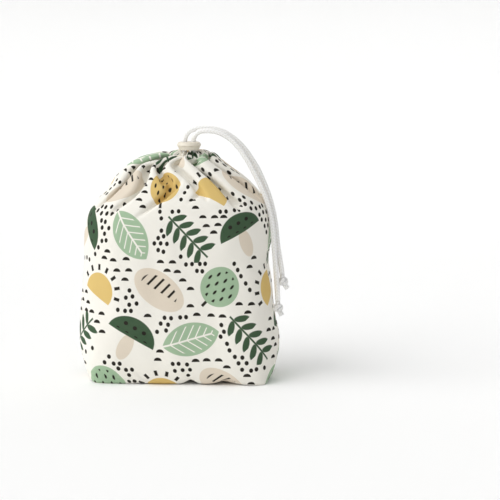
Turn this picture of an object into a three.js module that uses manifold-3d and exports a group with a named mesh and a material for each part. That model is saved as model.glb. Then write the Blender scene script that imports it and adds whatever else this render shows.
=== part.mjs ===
// Kinchaku drawstring pouch, millimetres, +Z up, standing on its base with its front to -Y.
// One cloth bag, sewn at the sides and boxed at the base, is drawn shut by a cord that runs
// round the mouth in a hem casing. Both cord ends come up through a two-hole stopper, lie over
// the right shoulder and end in an overhand knot each. The origin is the middle of the base.
import * as THREE from "three";
import { mergeVertices } from "three/addons/utils/BufferGeometryUtils.js";
import Module from "manifold-3d";

const wasm = await Module();
wasm.setup();

// Bag
const clothThickness = 1.2; // outer cloth and facing, pressed together
const baseWidth = 152;
const baseDepth = 84;
const baseShift = 0.6; // of the level's middle along X, as for the shifts below
const bellyWidth = 175;
const bellyDepth = 101.4;
const bellyHeight = 38;
const bellyShift = -1.2;
const waistWidth = 159;
const waistDepth = 100.4;
const waistHeight = 103;
const waistShift = -2.7;
const shoulderWidth = 161;
const shoulderDepth = 102;
const shoulderHeight = 138;
const shoulderShift = -1.3;
const heelRise = 9.8; // height over which the base edge rounds into the sides
const cornerFade = 4; // height over which the base's sharp corners soften
const seamRise = 0.8; // ridge of the side seams

// Gathers
const foldDepth = 3.4; // of a fold halfway up the roof
const casingFoldDepth = 0.9; // of the same folds where the casing bunches them
const puckerDepth = 0.7; // of the finer puckers on the casing
const columnsPerFold = 6;
// Valleys between the folds that run from the casing out to the shoulders, as shares of a lap
// from the middle of the front. Two of them are the side seams.
const valleyShares = [
  0.042, 0.114, 0.19, 0.25, 0.337, 0.42, 0.504, 0.576, 0.667, 0.75, 0.841, 0.909, 0.977,
];

// Mouth and casing
const mouthHeight = 199.5; // top of the casing
const mouthX = 9.3; // the drawn mouth sits right of the middle
const mouthY = 2.5;
const headRadius = 18.2; // of the bunched head where the roof meets it
const headDrop = 5; // from the casing's top down to where the roof meets it

// Drawcord
const cordDiameter = 4.4;
const channelRadius = 11; // of the cord's run round the mouth
const channelClearance = 0.3;
const cordSides = 8;
const tailStep = 4; // length of one straight step along a tail

// Stopper
const stopperRadius = 10.5; // at its widest edge
const stopperHeight = 7;
const stopperTaper = 1.6; // how much smaller the top and bottom faces are
const stopperGroove = 0.7; // depth of the moulded groove under the cap
const holeSpacing = 7.4;
const holeClearance = 0.6;
const seatGap = 0.4; // between the stopper and the casing that it is pushed down on

// Knots
const knotLobe = 1.75; // from the knot's axis to the middle of its lobes
const knotTail = 5; // cord end that sticks out below

const cordRadius = cordDiameter / 2;
const boreRadius = cordRadius + channelClearance;
const casingWall = clothThickness + casingFoldDepth + puckerDepth;
const channelHeight = mouthHeight - casingWall - boreRadius;
const mouthRadius = channelRadius - boreRadius - clothThickness - casingFoldDepth;
const roofTop = mouthHeight - headDrop;
const seatHeight = mouthHeight + seatGap;
const exitAngle = Math.asin(holeSpacing / 2 / channelRadius);
const exitY = mouthY - channelRadius * Math.cos(exitAngle);

const material = (color, roughness) =>
  new THREE.MeshStandardMaterial({ color, roughness, metalness: 0 });
const printedCotton = material("#f1ece2", 0.9);
const cottonCord = material("#f4f2ec", 0.85);
const creamPlastic = material("#ddd6c6", 0.45);

// A closed mesh as a solid that can be joined and cut.
function solid(geometry) {
  const bare = geometry.clone();
  bare.deleteAttribute("normal");
  bare.deleteAttribute("uv");
  const merged = mergeVertices(bare, 1e-4);
  return new wasm.Manifold(
    new wasm.Mesh({
      numProp: 3,
      vertProperties: new Float32Array(merged.attributes.position.array),
      triVerts: new Uint32Array(merged.index.array),
    }),
  );
}

// A solid back as a mesh geometry.
function geometryOf(made) {
  const mesh = made.getMesh();
  const geometry = new THREE.BufferGeometry();
  geometry.setAttribute("position", new THREE.BufferAttribute(mesh.vertProperties, 3));
  geometry.setIndex(new THREE.BufferAttribute(mesh.triVerts, 1));
  geometry.computeVertexNormals();
  return geometry;
}

function piece(name, geometry, finish) {
  const mesh = new THREE.Mesh(geometry, finish);
  mesh.name = name;
  return mesh;
}

// Round bar along a curve, with flat ends.
function cordAlong(path, steps, radius = cordRadius) {
  const section = new THREE.Shape().absarc(0, 0, radius, 0, 2 * Math.PI);
  return new THREE.ExtrudeGeometry(section, {
    steps,
    curveSegments: cordSides / 2,
    bevelEnabled: false,
    extrudePath: path,
  });
}

// Level outline of the bag: a superellipse, one lap from the middle of the front towards +X.
class LevelOutline extends THREE.Curve {
  constructor(halfWidth, halfDepth, squareness) {
    super();
    this.half = [halfWidth, halfDepth];
    this.power = 2 / squareness;
  }

  getPoint(share, target = new THREE.Vector3()) {
    const angle = 2 * Math.PI * share - Math.PI / 2;
    const bent = (x) => Math.sign(x) * Math.abs(x) ** this.power;
    return target.set(this.half[0] * bent(Math.cos(angle)), this.half[1] * bent(Math.sin(angle)), 0);
  }
}

const foldCount = valleyShares.length;
const columns = foldCount * columnsPerFold;
const columnShares = valleyShares.flatMap((valley, fold) => {
  const next = fold + 1 < foldCount ? valleyShares[fold + 1] : valleyShares[0] + 1;
  return Array.from({ length: columnsPerFold }, (_, i) =>
    THREE.MathUtils.euclideanModulo(valley + ((next - valley) * i) / columnsPerFold, 1),
  );
});

// Height of the folds' wave at a column: round crests, narrow valleys, 0 on average.
function foldWave(column) {
  const strength = 0.85 + 0.15 * Math.sin((6 * Math.PI * column) / columns + 0.7);
  return strength * (2 * Math.abs(Math.sin((Math.PI * column) / columnsPerFold)) - 4 / Math.PI);
}

const puckerWave = (column) => Math.cos((4 * Math.PI * column) / columnsPerFold);

// One level of the bag: its outline, its centre, and how deep the folds and puckers are there.
function level(halfWidth, halfDepth, squareness, centre, gather = {}) {
  const { fold = 0, pucker = 0, seam = 0 } = gather;
  const outline = new LevelOutline(halfWidth, halfDepth, squareness);
  const points = columnShares.map((s) => outline.getPointAt(s).add(centre));
  return { points, fold, pucker, seam };
}

// Sides of the bag, from the base edge up to the shoulder.
function sideLevels() {
  const swellShare = 0.56; // how much of the belly's swell the heel has
  const profile = new THREE.CatmullRomCurve3([
    new THREE.Vector3(baseWidth / 2, baseDepth / 2, 0),
    new THREE.Vector3(
      THREE.MathUtils.lerp(baseWidth, bellyWidth, swellShare) / 2,
      THREE.MathUtils.lerp(baseDepth, bellyDepth, swellShare) / 2,
      heelRise,
    ),
    new THREE.Vector3(bellyWidth / 2, bellyDepth / 2, bellyHeight),
    new THREE.Vector3(waistWidth / 2, waistDepth / 2, waistHeight),
    new THREE.Vector3(shoulderWidth / 2, shoulderDepth / 2, shoulderHeight),
  ]);
  const lean = new THREE.SplineCurve([
    new THREE.Vector2(baseShift, 0),
    new THREE.Vector2(THREE.MathUtils.lerp(baseShift, bellyShift, swellShare), heelRise),
    new THREE.Vector2(bellyShift, bellyHeight),
    new THREE.Vector2(waistShift, waistHeight),
    new THREE.Vector2(shoulderShift, shoulderHeight),
  ]);
  const sideRows = 10;
  const [sidePower, basePower] = [2.9, 12]; // of the outlines' superellipses
  return Array.from({ length: sideRows + 1 }, (_, i) => {
    const at = profile.getPoint(i / sideRows);
    const sharpness = (1 + at.z / cornerFade) ** -1.3;
    const squareness = THREE.MathUtils.lerp(sidePower, basePower, sharpness);
    const centre = new THREE.Vector3(lean.getPoint(i / sideRows).x, 0, at.z);
    return level(at.x, at.y, squareness, centre, { seam: i === 0 ? 0 : seamRise });
  });
}

// Levels of the roof: rise from shoulder to head, width and depth left over the head's, how far
// the middle has gone to the mouth's along X and Y, squareness, and share of the fold depth.
const roofSteps = [
  [0.165, 0.95, 1, 0.11, 0, 2.7, 0.25],
  [0.288, 0.9, 0.96, 0.26, 0.1, 2.5, 0.65],
  [0.395, 0.81, 0.87, 0.25, 0.4, 2.35, 1],
  [0.496, 0.7, 0.67, 0.17, 0.5, 2.45, 1.05],
  [0.607, 0.59, 0.54, 0.07, 0.7, 2.45, 1.1],
  [0.713, 0.48, 0.4, -0.04, 0.9, 2.45, 1.1],
  [0.814, 0.36, 0.255, -0.17, 1, 2.45, 1.1],
  [0.91, 0.21, 0.08, 0.05, 1.1, 2.35, 0.9],
  [1, 0, 0, 1, 1, 2, 0.53],
];

// Roof of the bag, drawn in from the shoulder to the bunched head.
function roofLevels() {
  return roofSteps.map(([rise, width, depth, towardsX, towardsY, squareness, fold]) =>
    level(
      THREE.MathUtils.lerp(headRadius, shoulderWidth / 2, width),
      THREE.MathUtils.lerp(headRadius, shoulderDepth / 2, depth),
      squareness,
      new THREE.Vector3(
        THREE.MathUtils.lerp(shoulderShift, mouthX, towardsX),
        mouthY * towardsY,
        THREE.MathUtils.lerp(shoulderHeight, roofTop, rise),
      ),
      { fold: fold * foldDepth, pucker: puckerDepth * rise ** 8, seam: seamRise * (1 - rise) },
    ),
  );
}

// A round level of the head, centred on the mouth.
const headLevel = (radius, height, gather) =>
  level(radius, radius, 2, new THREE.Vector3(mouthX, mouthY, height), gather);

// Casing from the head's rim over its top and down into the mouth.
function casingLevels() {
  const rows = 5;
  const crownWidth = headRadius - channelRadius;
  const lipWidth = channelRadius - mouthRadius;
  const lipDrop = mouthHeight - channelHeight;
  const crown = Array.from({ length: rows }, (_, i) => {
    const angle = ((i + 1) / rows) * (Math.PI / 2);
    const crownFold = THREE.MathUtils.lerp(2 * casingFoldDepth, casingFoldDepth, (i + 1) / rows);
    return headLevel(
      channelRadius + crownWidth * Math.cos(angle),
      roofTop - crownFold + headDrop * Math.sin(angle),
      { fold: crownFold, pucker: puckerDepth },
    );
  });
  const lip = [30, 60, 90].map((degrees) => {
    const angle = THREE.MathUtils.degToRad(degrees);
    const fading = Math.cos(angle);
    return headLevel(
      channelRadius - lipWidth * Math.sin(angle),
      mouthHeight - casingFoldDepth - lipDrop * (1 - Math.cos(angle)),
      { fold: casingFoldDepth * (0.4 + 0.6 * fading), pucker: puckerDepth * fading },
    );
  });
  return [...crown, ...lip];
}

// Underside of the casing, inside the bag, from the mouth back out to the roof.
function undersideLevels() {
  const low = channelHeight - boreRadius - clothThickness;
  return [
    headLevel(mouthRadius, channelHeight - boreRadius / 2, { fold: 0.4 * casingFoldDepth }),
    headLevel(channelRadius - boreRadius / 2, low, {}),
    headLevel(channelRadius + boreRadius, low, {}),
  ];
}

// Outward normals of a grid of levels, from the differences between neighbouring points.
function levelNormals(levels) {
  return levels.map(({ points }, row) =>
    points.map((_, column) => {
      const above = levels[Math.min(row + 1, levels.length - 1)].points[column];
      const below = levels[Math.max(row - 1, 0)].points[column];
      const next = points[(column + 1) % columns];
      const last = points[(column + columns - 1) % columns];
      const along = next.clone().sub(last);
      return along.cross(above.clone().sub(below)).normalize();
    }),
  );
}

// A level's points moved along its normals by its folds, puckers and seams, and by an offset.
function gathered(levels, normals, row, offset) {
  const { points, fold, pucker, seam } = levels[row];
  return points.map((point, column) => {
    const onSeam = columnShares[column] === 0.25 || columnShares[column] === 0.75;
    const rise = fold * foldWave(column) + pucker * puckerWave(column) + (onSeam ? seam : 0);
    return point.clone().addScaledVector(normals[row][column], rise + offset);
  });
}

// Closed skin over rings of points, with a flat fan in the first and the last ring.
function skinOver(rings) {
  const middle = (ring) =>
    ring.reduce((sum, p) => sum.add(p), new THREE.Vector3()).divideScalar(ring.length);
  const vertices = [...rings.flat(), middle(rings[0]), middle(rings.at(-1))];
  const at = (row, column) => row * columns + (column % columns);
  const [bottomMiddle, topMiddle] = [rings.length * columns, rings.length * columns + 1];
  const index = [];
  for (let column = 0; column < columns; column += 1) {
    index.push(bottomMiddle, at(0, column + 1), at(0, column));
    for (let row = 0; row + 1 < rings.length; row += 1) {
      const [a, b] = [at(row, column), at(row, column + 1)];
      const [c, d] = [at(row + 1, column + 1), at(row + 1, column)];
      index.push(a, b, c, a, c, d);
    }
    index.push(topMiddle, at(rings.length - 1, column), at(rings.length - 1, column + 1));
  }
  const geometry = new THREE.BufferGeometry().setFromPoints(vertices);
  geometry.setIndex(index);
  return geometry;
}

// The cloth bag: outside, casing and inside in one skin, with the cord's channel cut into it.
function pouchBag() {
  const outside = [...sideLevels(), ...roofLevels(), ...casingLevels()];
  const normals = levelNormals(outside);
  const underside = undersideLevels();
  const wallRows = sideLevels().length + roofLevels().length;
  const outer = outside.map((_, row) => gathered(outside, normals, row, 0));
  const under = underside.map((_, row) => gathered(underside, levelNormals(underside), row, 0));
  const inner = [];
  for (let row = wallRows - 2; row > 0; row -= 2) {
    inner.push(gathered(outside, normals, row, -clothThickness));
  }
  const floor = outside[0].points.map((point) => {
    const inset = point.clone().setLength(point.length() - clothThickness);
    return inset.setZ(clothThickness);
  });
  const skin = solid(skinOver([...outer, ...under, ...inner, floor]));
  const channel = new THREE.TorusGeometry(channelRadius, boreRadius, 10, 32);
  channel.translate(mouthX, mouthY, channelHeight);
  let bag = skin.subtract(solid(channel));
  for (const side of [-1, 1]) {
    const bore = new THREE.CylinderGeometry(boreRadius, boreRadius, headDrop + boreRadius, 12);
    bore.rotateX(Math.PI / 2);
    bore.translate(
      mouthX + (side * holeSpacing) / 2,
      exitY,
      channelHeight + (headDrop + boreRadius) / 2,
    );
    bag = bag.subtract(solid(bore));
  }
  return piece("pouch_bag", geometryOf(bag), printedCotton);
}

// The drawcord's run round the mouth, hidden in the casing, from one exit back to the other.
function channelRun() {
  const endAngle = exitAngle + (cordRadius + channelClearance) / channelRadius;
  const steps = 28;
  const points = Array.from({ length: steps + 1 }, (_, i) => {
    const turn = endAngle + (i / steps) * 2 * (Math.PI - endAngle) - Math.PI / 2;
    return new THREE.Vector3(
      mouthX + channelRadius * Math.cos(turn),
      mouthY + channelRadius * Math.sin(turn),
      channelHeight,
    );
  });
  const path = new THREE.CatmullRomCurve3(points);
  return piece("drawcord_channel_run", cordAlong(path, steps), cottonCord);
}

// Routes of the free cord ends, from the casing's top at each exit to the knots: the run
// straight up through the stopper, the arch, the lie over the shoulder and the hang. They are
// drawn for a pouch 161 wide and 102 deep at the shoulder and 199.5 tall, and follow its size.
const routeScale = new THREE.Vector3(shoulderWidth / 161, shoulderDepth / 102, mouthHeight / 199.5);
const leftTailRoute = [
  [0, 0, 1.5], [0, 0, 5], [0, 0, 7.7], [0.4, 0.1, 10.7], [1.6, 0.3, 13.6], [3.7, 0.7, 16.1],
  [6.6, 1.1, 17.8], [10.2, 1.5, 18.7], [14.6, 1.9, 19.1], [20, 2.2, 19.1], [26.1, 2.4, 18.5],
  [32.6, 2.4, 16.6], [39.5, 2.2, 12.8], [45.6, 1.8, 8.1], [51.7, 1.2, 1.8], [57.3, 0.5, -5.9],
  [63, -0.2, -14.9], [67.7, -0.9, -24.8], [71.6, -1.6, -34.2], [74.7, -2.2, -43.7],
  [77.3, -2.7, -54.1], [79.3, -3.1, -66.3], [80.9, -3.4, -81.9], [82.5, -3.6, -92.4],
  [83.8, -3.7, -100], [84.8, -3.8, -107.1],
];
const rightTailRoute = [
  [0, 0, 1.5], [0, 0, 5], [0, 0, 7.5], [0.4, -0.2, 10.4], [1.7, -0.7, 13], [3.7, -1.4, 15.1],
  [6.2, -2.1, 16.5], [9.3, -2.8, 17.1], [15.6, -3.5, 17.1], [20.8, -3.8, 16.3], [26.1, -4, 14.3],
  [31.7, -4.2, 10.7], [37.4, -4.5, 5.6], [42.6, -4.9, -0.8], [47.8, -5.3, -9], [53, -5.7, -18.4],
  [57.8, -6.2, -27.8], [61.7, -6.6, -36.4], [65.1, -7, -45.5], [67.7, -7.3, -55.9],
  [69.3, -7.6, -66.3], [70.6, -7.9, -82], [71.9, -8.2, -98.6], [73.2, -8.6, -116.1],
  [73.9, -8.8, -129.5],
];

// A cord end from inside the casing along its route.
function tailPath(side, route) {
  const exit = new THREE.Vector3(mouthX + (side * holeSpacing) / 2, exitY, mouthHeight);
  const start = new THREE.Vector3(exit.x, exit.y, channelHeight);
  return new THREE.CatmullRomCurve3([
    start,
    ...route.map((offset) => new THREE.Vector3(...offset).multiply(routeScale).add(exit)),
  ]);
}

function cordTail(name, path) {
  const steps = Math.round(path.getLength() / tailStep);
  return piece(name, cordAlong(path, steps), cottonCord);
}

// Tight overhand knot: three crossing lobes of cord round a filled middle, the standing cord
// coming in from above and the cut end sticking out below. It is built with its top at the
// origin and turned so that the standing cord carries on along the given direction.
function endKnot(name, end, direction) {
  const rise = 0.8 * cordRadius;
  const middle = -(2 * cordRadius + rise);
  class KnotLobes extends THREE.Curve {
    getPoint(share, target = new THREE.Vector3()) {
      const turn = 2 * Math.PI * share;
      const out = knotLobe * (1 + 0.45 * Math.cos(3 * turn));
      return target.set(
        out * Math.cos(2 * turn),
        out * Math.sin(2 * turn),
        middle + rise * Math.sin(3 * turn),
      );
    }
  }
  const stretchCount = 4;
  const stretchSteps = 7;
  const lap = new KnotLobes();
  const core = knotLobe + 0.5 * cordRadius;
  let knot = solid(new THREE.SphereGeometry(core, 10, 7).translate(0, 0, middle));
  for (let i = 0; i < stretchCount; i += 1) {
    const points = Array.from({ length: stretchSteps }, (_, k) =>
      lap.getPoint((i + (k / (stretchSteps - 1)) * 1.15) / stretchCount),
    );
    const stretch = cordAlong(new THREE.CatmullRomCurve3(points), stretchSteps, 0.85 * cordRadius);
    knot = knot.add(solid(stretch));
  }
  const standing = new THREE.LineCurve3(
    new THREE.Vector3(0, 0, 0),
    new THREE.Vector3(0, 0, middle),
  );
  const cutEnd = new THREE.LineCurve3(
    new THREE.Vector3(0, 0, middle),
    new THREE.Vector3(0.6 * knotTail, 0, middle - rise - knotTail),
  );
  knot = knot.add(solid(cordAlong(standing, 1))).add(solid(cordAlong(cutEnd, 1)));
  const mesh = piece(name, geometryOf(knot), cottonCord);
  mesh.quaternion.setFromUnitVectors(new THREE.Vector3(0, 0, -1), direction);
  mesh.position.copy(end).addScaledVector(direction, channelClearance);
  return mesh;
}

// Moulded stopper: a squat round block with a cap edge, a groove under it and two cord holes.
function cordStopper() {
  const face = stopperRadius - stopperTaper;
  const grooveHeight = 0.52 * stopperHeight;
  const grooveWidth = 0.1 * stopperHeight;
  const edgeRound = 0.12 * stopperHeight;
  const profile = new THREE.Path();
  profile.moveTo(0, 0);
  profile.lineTo(face - edgeRound, 0);
  profile.quadraticCurveTo(face, 0, face + 0.25 * edgeRound, edgeRound);
  profile.lineTo(stopperRadius - stopperGroove, grooveHeight - grooveWidth);
  profile.lineTo(stopperRadius - 1.7 * stopperGroove, grooveHeight - grooveWidth / 2);
  profile.lineTo(stopperRadius - 0.15 * stopperGroove, grooveHeight);
  profile.quadraticCurveTo(
    stopperRadius,
    grooveHeight + edgeRound / 2,
    stopperRadius - 0.3 * stopperGroove,
    grooveHeight + edgeRound,
  );
  profile.lineTo(face + 0.8 * edgeRound, stopperHeight - edgeRound);
  profile.quadraticCurveTo(face, stopperHeight, face - edgeRound, stopperHeight);
  profile.lineTo(0, stopperHeight);
  const block = new THREE.LatheGeometry(profile.getPoints(2), 32).rotateX(Math.PI / 2);
  let stopper = solid(block);
  const holeRadius = cordRadius + holeClearance;
  const flare = holeClearance;
  for (const side of [-1, 1]) {
    const hole = new THREE.LatheGeometry(
      [
        new THREE.Vector2(0, -1),
        new THREE.Vector2(holeRadius + flare, -1),
        new THREE.Vector2(holeRadius + flare, 0),
        new THREE.Vector2(holeRadius, flare),
        new THREE.Vector2(holeRadius, stopperHeight - flare),
        new THREE.Vector2(holeRadius + flare, stopperHeight),
        new THREE.Vector2(holeRadius + flare, stopperHeight + 1),
        new THREE.Vector2(0, stopperHeight + 1),
      ],
      16,
    );
    hole.rotateX(Math.PI / 2).translate((side * holeSpacing) / 2, 0, 0);
    stopper = stopper.subtract(solid(hole));
  }
  const mesh = piece("cord_stopper", geometryOf(stopper), creamPlastic);
  mesh.position.set(mouthX, exitY, seatHeight);
  return mesh;
}

const leftPath = tailPath(-1, leftTailRoute);
const rightPath = tailPath(1, rightTailRoute);

const pouch = new THREE.Group();
pouch.name = "kinchaku_pouch";
pouch.add(
  pouchBag(),
  channelRun(),
  cordTail("drawcord_left_tail", leftPath),
  cordTail("drawcord_right_tail", rightPath),
  endKnot("left_tail_knot", leftPath.getPoint(1), leftPath.getTangent(1)),
  endKnot("right_tail_knot", rightPath.getPoint(1), rightPath.getTangent(1)),
  cordStopper(),
);

export default pouch;
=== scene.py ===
"""Kinchaku drawstring pouch: the dressed pieces, their finishes and the studio they stand in.

Lengths in the tables are millimetres in the part's frame: +Z up, the front to -Y, the origin in the
middle of the base. Meshes are metres.
"""
import math

import bpy
import numpy as np
from mathutils import Euler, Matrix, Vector


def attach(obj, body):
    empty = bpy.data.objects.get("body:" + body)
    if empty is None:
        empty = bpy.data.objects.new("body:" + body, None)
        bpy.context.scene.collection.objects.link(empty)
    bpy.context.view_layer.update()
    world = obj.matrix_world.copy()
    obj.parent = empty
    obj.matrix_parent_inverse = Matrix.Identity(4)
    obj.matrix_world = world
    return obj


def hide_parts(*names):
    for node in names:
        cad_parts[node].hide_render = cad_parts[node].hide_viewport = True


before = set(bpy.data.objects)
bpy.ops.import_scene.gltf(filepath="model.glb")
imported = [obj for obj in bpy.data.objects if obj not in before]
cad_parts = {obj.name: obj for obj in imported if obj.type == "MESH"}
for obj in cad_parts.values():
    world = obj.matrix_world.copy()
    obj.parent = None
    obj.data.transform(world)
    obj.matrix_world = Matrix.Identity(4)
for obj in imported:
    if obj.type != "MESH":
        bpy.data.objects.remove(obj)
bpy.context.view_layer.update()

MM = 0.001
TURN = 2 * math.pi


# Shader maths

class Value:
    """A socket in a node graph; arithmetic on it adds Math nodes."""

    def __init__(self, graph, socket):
        self.graph = graph
        self.socket = socket

    def math(self, operation, *others, clamp=False):
        """A Math node whose first input is this value."""
        settings = {"operation": operation, "use_clamp": clamp}
        return self.graph.node("ShaderNodeMath", settings, dict(enumerate((self, *others))))

    def __add__(self, other):
        return self.math("ADD", other)

    def __sub__(self, other):
        return self.math("SUBTRACT", other)

    def __rsub__(self, other):
        return self.graph.node("ShaderNodeMath", {"operation": "SUBTRACT"}, {0: other, 1: self})

    def __mul__(self, other):
        return self.math("MULTIPLY", other)

    def __truediv__(self, other):
        return self.math("DIVIDE", other)

    def __rtruediv__(self, other):
        return self.graph.node("ShaderNodeMath", {"operation": "DIVIDE"}, {0: other, 1: self})

    def __neg__(self):
        return self.math("MULTIPLY", -1.0)

    __radd__ = __add__
    __rmul__ = __mul__

    def sin(self):
        return self.math("SINE")

    def cos(self):
        return self.math("COSINE")

    def abs(self):
        return self.math("ABSOLUTE")

    def floor(self):
        return self.math("FLOOR")

    def fract(self):
        return self.math("FRACT")

    def sqrt(self):
        return self.math("SQRT")

    def mod(self, other):
        return self.math("FLOORED_MODULO", other)

    def min(self, other):
        return self.math("MINIMUM", other)

    def max(self, other):
        return self.math("MAXIMUM", other)

    def above(self, other):
        return self.math("GREATER_THAN", other)

    def near(self, other):
        """1 where the two values differ by no more than a half."""
        return self.math("COMPARE", other, 0.5)

    def clamp(self):
        """The value held between 0 and 1."""
        return self.math("ADD", 0.0, clamp=True)


class Graph:
    """A material's node tree, with a Principled shader at its end."""

    def __init__(self, name):
        self.material = bpy.data.materials.new(name)
        self.material.use_nodes = True
        self.tree = self.material.node_tree
        self.shader = next(n for n in self.tree.nodes if n.type == "BSDF_PRINCIPLED")

    def node(self, kind, settings=None, inputs=None, output=0):
        """Adds a node: its settings first, then the values or links of its sockets."""
        made = self.tree.nodes.new(kind)
        for key, setting in (settings or {}).items():
            setattr(made, key, setting)
        for key, value in (inputs or {}).items():
            self.feed(made.inputs[key], value)
        return Value(self, made.outputs[output])

    def feed(self, socket, value):
        """Links a value to a socket, or sets the socket to a number, a vector or a colour."""
        if isinstance(value, Value):
            self.tree.links.new(value.socket, socket)
        elif hasattr(value, "__len__") and len(value) == 3 and socket.type == "RGBA":
            socket.default_value = (*value, 1.0)
        else:
            socket.default_value = value

    def finish(self, **inputs):
        """Feeds the shader's sockets, named with _ for a space, and gives back the material."""
        for key, value in inputs.items():
            self.feed(self.shader.inputs[key.replace("_", " ")], value)
        return self.material

    def mix(self, factor, under, over):
        """One colour laid over another by a factor."""
        settings = {"data_type": "RGBA"}
        return self.node("ShaderNodeMix", settings, {0: factor, 6: under, 7: over}, output=2)

    def join(self, x, y, z):
        """A vector from its three parts."""
        return self.node("ShaderNodeCombineXYZ", None, {0: x, 1: y, 2: z})

    def split(self, vector):
        """The three parts of a vector."""
        parts = self.node("ShaderNodeSeparateXYZ", None, {0: vector})
        return [Value(self, s) for s in parts.socket.node.outputs]

    def flat(self):
        """The two coordinates of a surface laid flat."""
        return self.split(self.node("ShaderNodeUVMap", {"uv_map": "flat"}))[:2]

    def place(self):
        """The place on the object, in metres."""
        return self.node("ShaderNodeTexCoord", output=3)

    def noise(self, vector, scale, detail):
        """Soft noise from 0 to 1 at a place."""
        inputs = {"Vector": vector, "Scale": scale, "Detail": detail}
        return self.node("ShaderNodeTexNoise", None, inputs)

    def chance(self, vector):
        """Three random numbers from 0 to 1, the same for equal vectors."""
        noise = self.node("ShaderNodeTexWhiteNoise", {"noise_dimensions": "3D"}, {0: vector}, output=1)
        return self.split(noise)

    def bump(self, height, strength, distance):
        """A normal from a height, whose full rise is a distance in metres."""
        inputs = {"Strength": strength, "Distance": distance, "Height": height}
        return self.node("ShaderNodeBump", None, inputs)


def linear(hex_colour):
    """A colour such as 9ac0a0 as linear red, green and blue."""
    srgb = [int(hex_colour[i:i + 2], 16) / 255 for i in (0, 2, 4)]
    return tuple(c / 12.92 if c <= 0.04045 else ((c + 0.055) / 1.055) ** 2.4 for c in srgb)


# Meshes

def add_object(name, points, faces, uvs=None):
    """A smooth object at the origin from points in millimetres and faces as lists of indices."""
    mesh = bpy.data.meshes.new(name)
    mesh.from_pydata((np.asarray(points) * MM).tolist(), [], faces)
    if uvs is not None:
        layer = mesh.uv_layers.new(name="flat")
        layer.data.foreach_set("uv", np.asarray(uvs, dtype=np.float32).ravel())
    mesh.polygons.foreach_set("use_smooth", np.full(len(mesh.polygons), True))
    mesh.update()
    made = bpy.data.objects.new(name, mesh)
    bpy.context.scene.collection.objects.link(made)
    return made


def ring_faces(rows, columns):
    """Quads over a grid whose rows close on themselves, facing out when rows rise."""
    index = np.arange(rows * columns).reshape(rows, columns)
    right = np.roll(index, -1, axis=1)
    return np.stack([index[:-1], right[:-1], right[1:], index[1:]], axis=-1).reshape(-1, 4)


def ring_uvs(u, v):
    """Corner coordinates for ring_faces: u has one more entry than there are columns."""
    low, high = v[:-1, None], v[1:, None]
    left, right = u[None, :-1], u[None, 1:]
    corners = [(left, low), (right, low), (right, high), (left, high)]
    spread = [np.stack(np.broadcast_arrays(a, b), axis=-1) for a, b in corners]
    return np.stack(spread, axis=2).reshape(-1, 2)


def hermite(at, knots, values):
    """Smooth curve through values at knots: cubic pieces that share their slopes."""
    slopes = np.gradient(values, knots, axis=0)
    i = np.clip(np.searchsorted(knots, at, side="right") - 1, 0, len(knots) - 2)
    width = (knots[i + 1] - knots[i])[:, None]
    t = (at - knots[i])[:, None] / width
    start = (2 * t**3 - 3 * t**2 + 1) * values[i] + (t**3 - 2 * t**2 + t) * width * slopes[i]
    end = (3 * t**2 - 2 * t**3) * values[i + 1] + (t**3 - t**2) * width * slopes[i + 1]
    return start + end


def run_length(points):
    """Length along a row of points up to each of them."""
    steps = np.linalg.norm(np.diff(points, axis=0), axis=1)
    return np.concatenate([[0.0], np.cumsum(steps)])


def even_path(points, spacing):
    """Smooth path through points, as points at an even spacing."""
    points = np.asarray(points, dtype=float)
    knots = run_length(points)
    steps_each = 40
    dense = hermite(np.linspace(0, knots[-1], steps_each * len(points)), knots, points)
    along = run_length(dense)
    count = max(2, round(along[-1] / spacing) + 1)
    at = np.linspace(0, along[-1], count)
    return np.stack([np.interp(at, along, dense[:, k]) for k in range(3)], axis=1)


def path_frames(path):
    """Two directions across a path, the first of them as near as it can be to one fixed axis.

    The axis is the one of X, Y and Z that the path keeps most nearly square to.
    """
    tangent = np.gradient(path, axis=0)
    tangent /= np.linalg.norm(tangent, axis=1, keepdims=True)
    axis = np.eye(3)[np.abs(tangent).max(axis=0).argmin()]
    across = axis - tangent * (tangent @ axis)[:, None]
    across /= np.linalg.norm(across, axis=1, keepdims=True)
    return across, np.cross(tangent, across)


# The pouch's cloth

COLUMNS = 264
ROWS = 140
SHOULDER_HEIGHT = 137.0
SETTLING_STEPS = 80
LINK_SWEEPS = 8
# Height, half width, half depth, squareness of the outline, and its centre's X and Y.
STATIONS = np.array([
    [0.0, 75.6, 42.0, 12.0, 2.6, 0.0],
    [3.5, 77.8, 43.4, 9.0, 2.0, 0.0],
    [9.0, 80.6, 45.0, 6.4, 1.1, 0.0],
    [20.0, 83.4, 46.8, 4.7, 0.1, 0.0],
    [34.0, 84.6, 48.0, 3.9, -0.6, 0.0],
    [54.0, 82.4, 48.6, 3.5, -1.8, 0.0],
    [82.0, 79.8, 48.2, 3.3, -2.4, 0.0],
    [103.0, 76.6, 47.6, 3.2, -3.2, 0.0],
    [121.0, 77.8, 47.0, 3.2, -2.2, 0.0],
    [137.0, 77.2, 46.0, 3.1, -1.6, 0.0],
    [150.0, 69.8, 43.2, 2.9, 1.2, 0.2],
    [161.0, 63.2, 39.8, 2.7, 2.2, 0.6],
    [171.0, 57.5, 35.8, 2.5, 1.4, 1.0],
    [180.0, 50.0, 31.6, 2.35, -1.6, 1.5],
    [189.0, 40.5, 26.0, 2.2, -4.0, 2.0],
    [194.0, 31.0, 21.8, 2.1, 0.4, 2.4],
    [195.2, 23.0, 19.2, 2.0, 6.2, 2.5],
    [193.5, 16.8, 16.8, 2.0, 9.3, 2.5],
])
# Ring of the cord in the casing: its centre and radius.
RING_X, RING_Y, RING_Z, RING_RADIUS = 9.3, 2.5, 194.4, 11.0
PUCKERS = 22
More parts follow.
